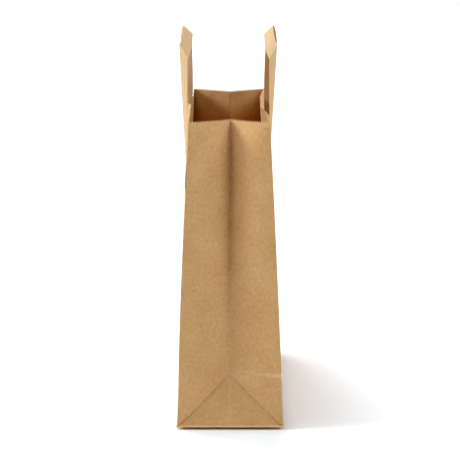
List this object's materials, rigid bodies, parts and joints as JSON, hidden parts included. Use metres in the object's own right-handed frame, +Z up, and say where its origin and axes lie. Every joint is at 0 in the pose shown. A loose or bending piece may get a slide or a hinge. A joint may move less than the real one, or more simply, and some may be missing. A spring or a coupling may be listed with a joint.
{
  "type": "paper carrier bag",
  "caption": "Open kraft paper carrier bag with folded side gussets, a flat block bottom and flat paper-tape handles pasted to the outside of its broad panels.",
  "frame": {"origin": "on the table, under the middle of the base", "axes": "+Z up from the base to the mouth, +X from the back panel to the front panel, +Y along the broad panels from the near gusset to the far one"},
  "size_m": [0.1218, 0.261, 0.4414],
  "materials": {
    "kraft_sheet": "unbleached brown kraft, matt, machine smooth",
    "kraft_tape": "unbleached brown kraft tape, folded in plies, matt"
  },
  "bodies": {
    "root": {"bag_body": "kraft_sheet", "back_handle": "kraft_tape", "front_handle": "kraft_tape"}
  },
  "joints": []
}
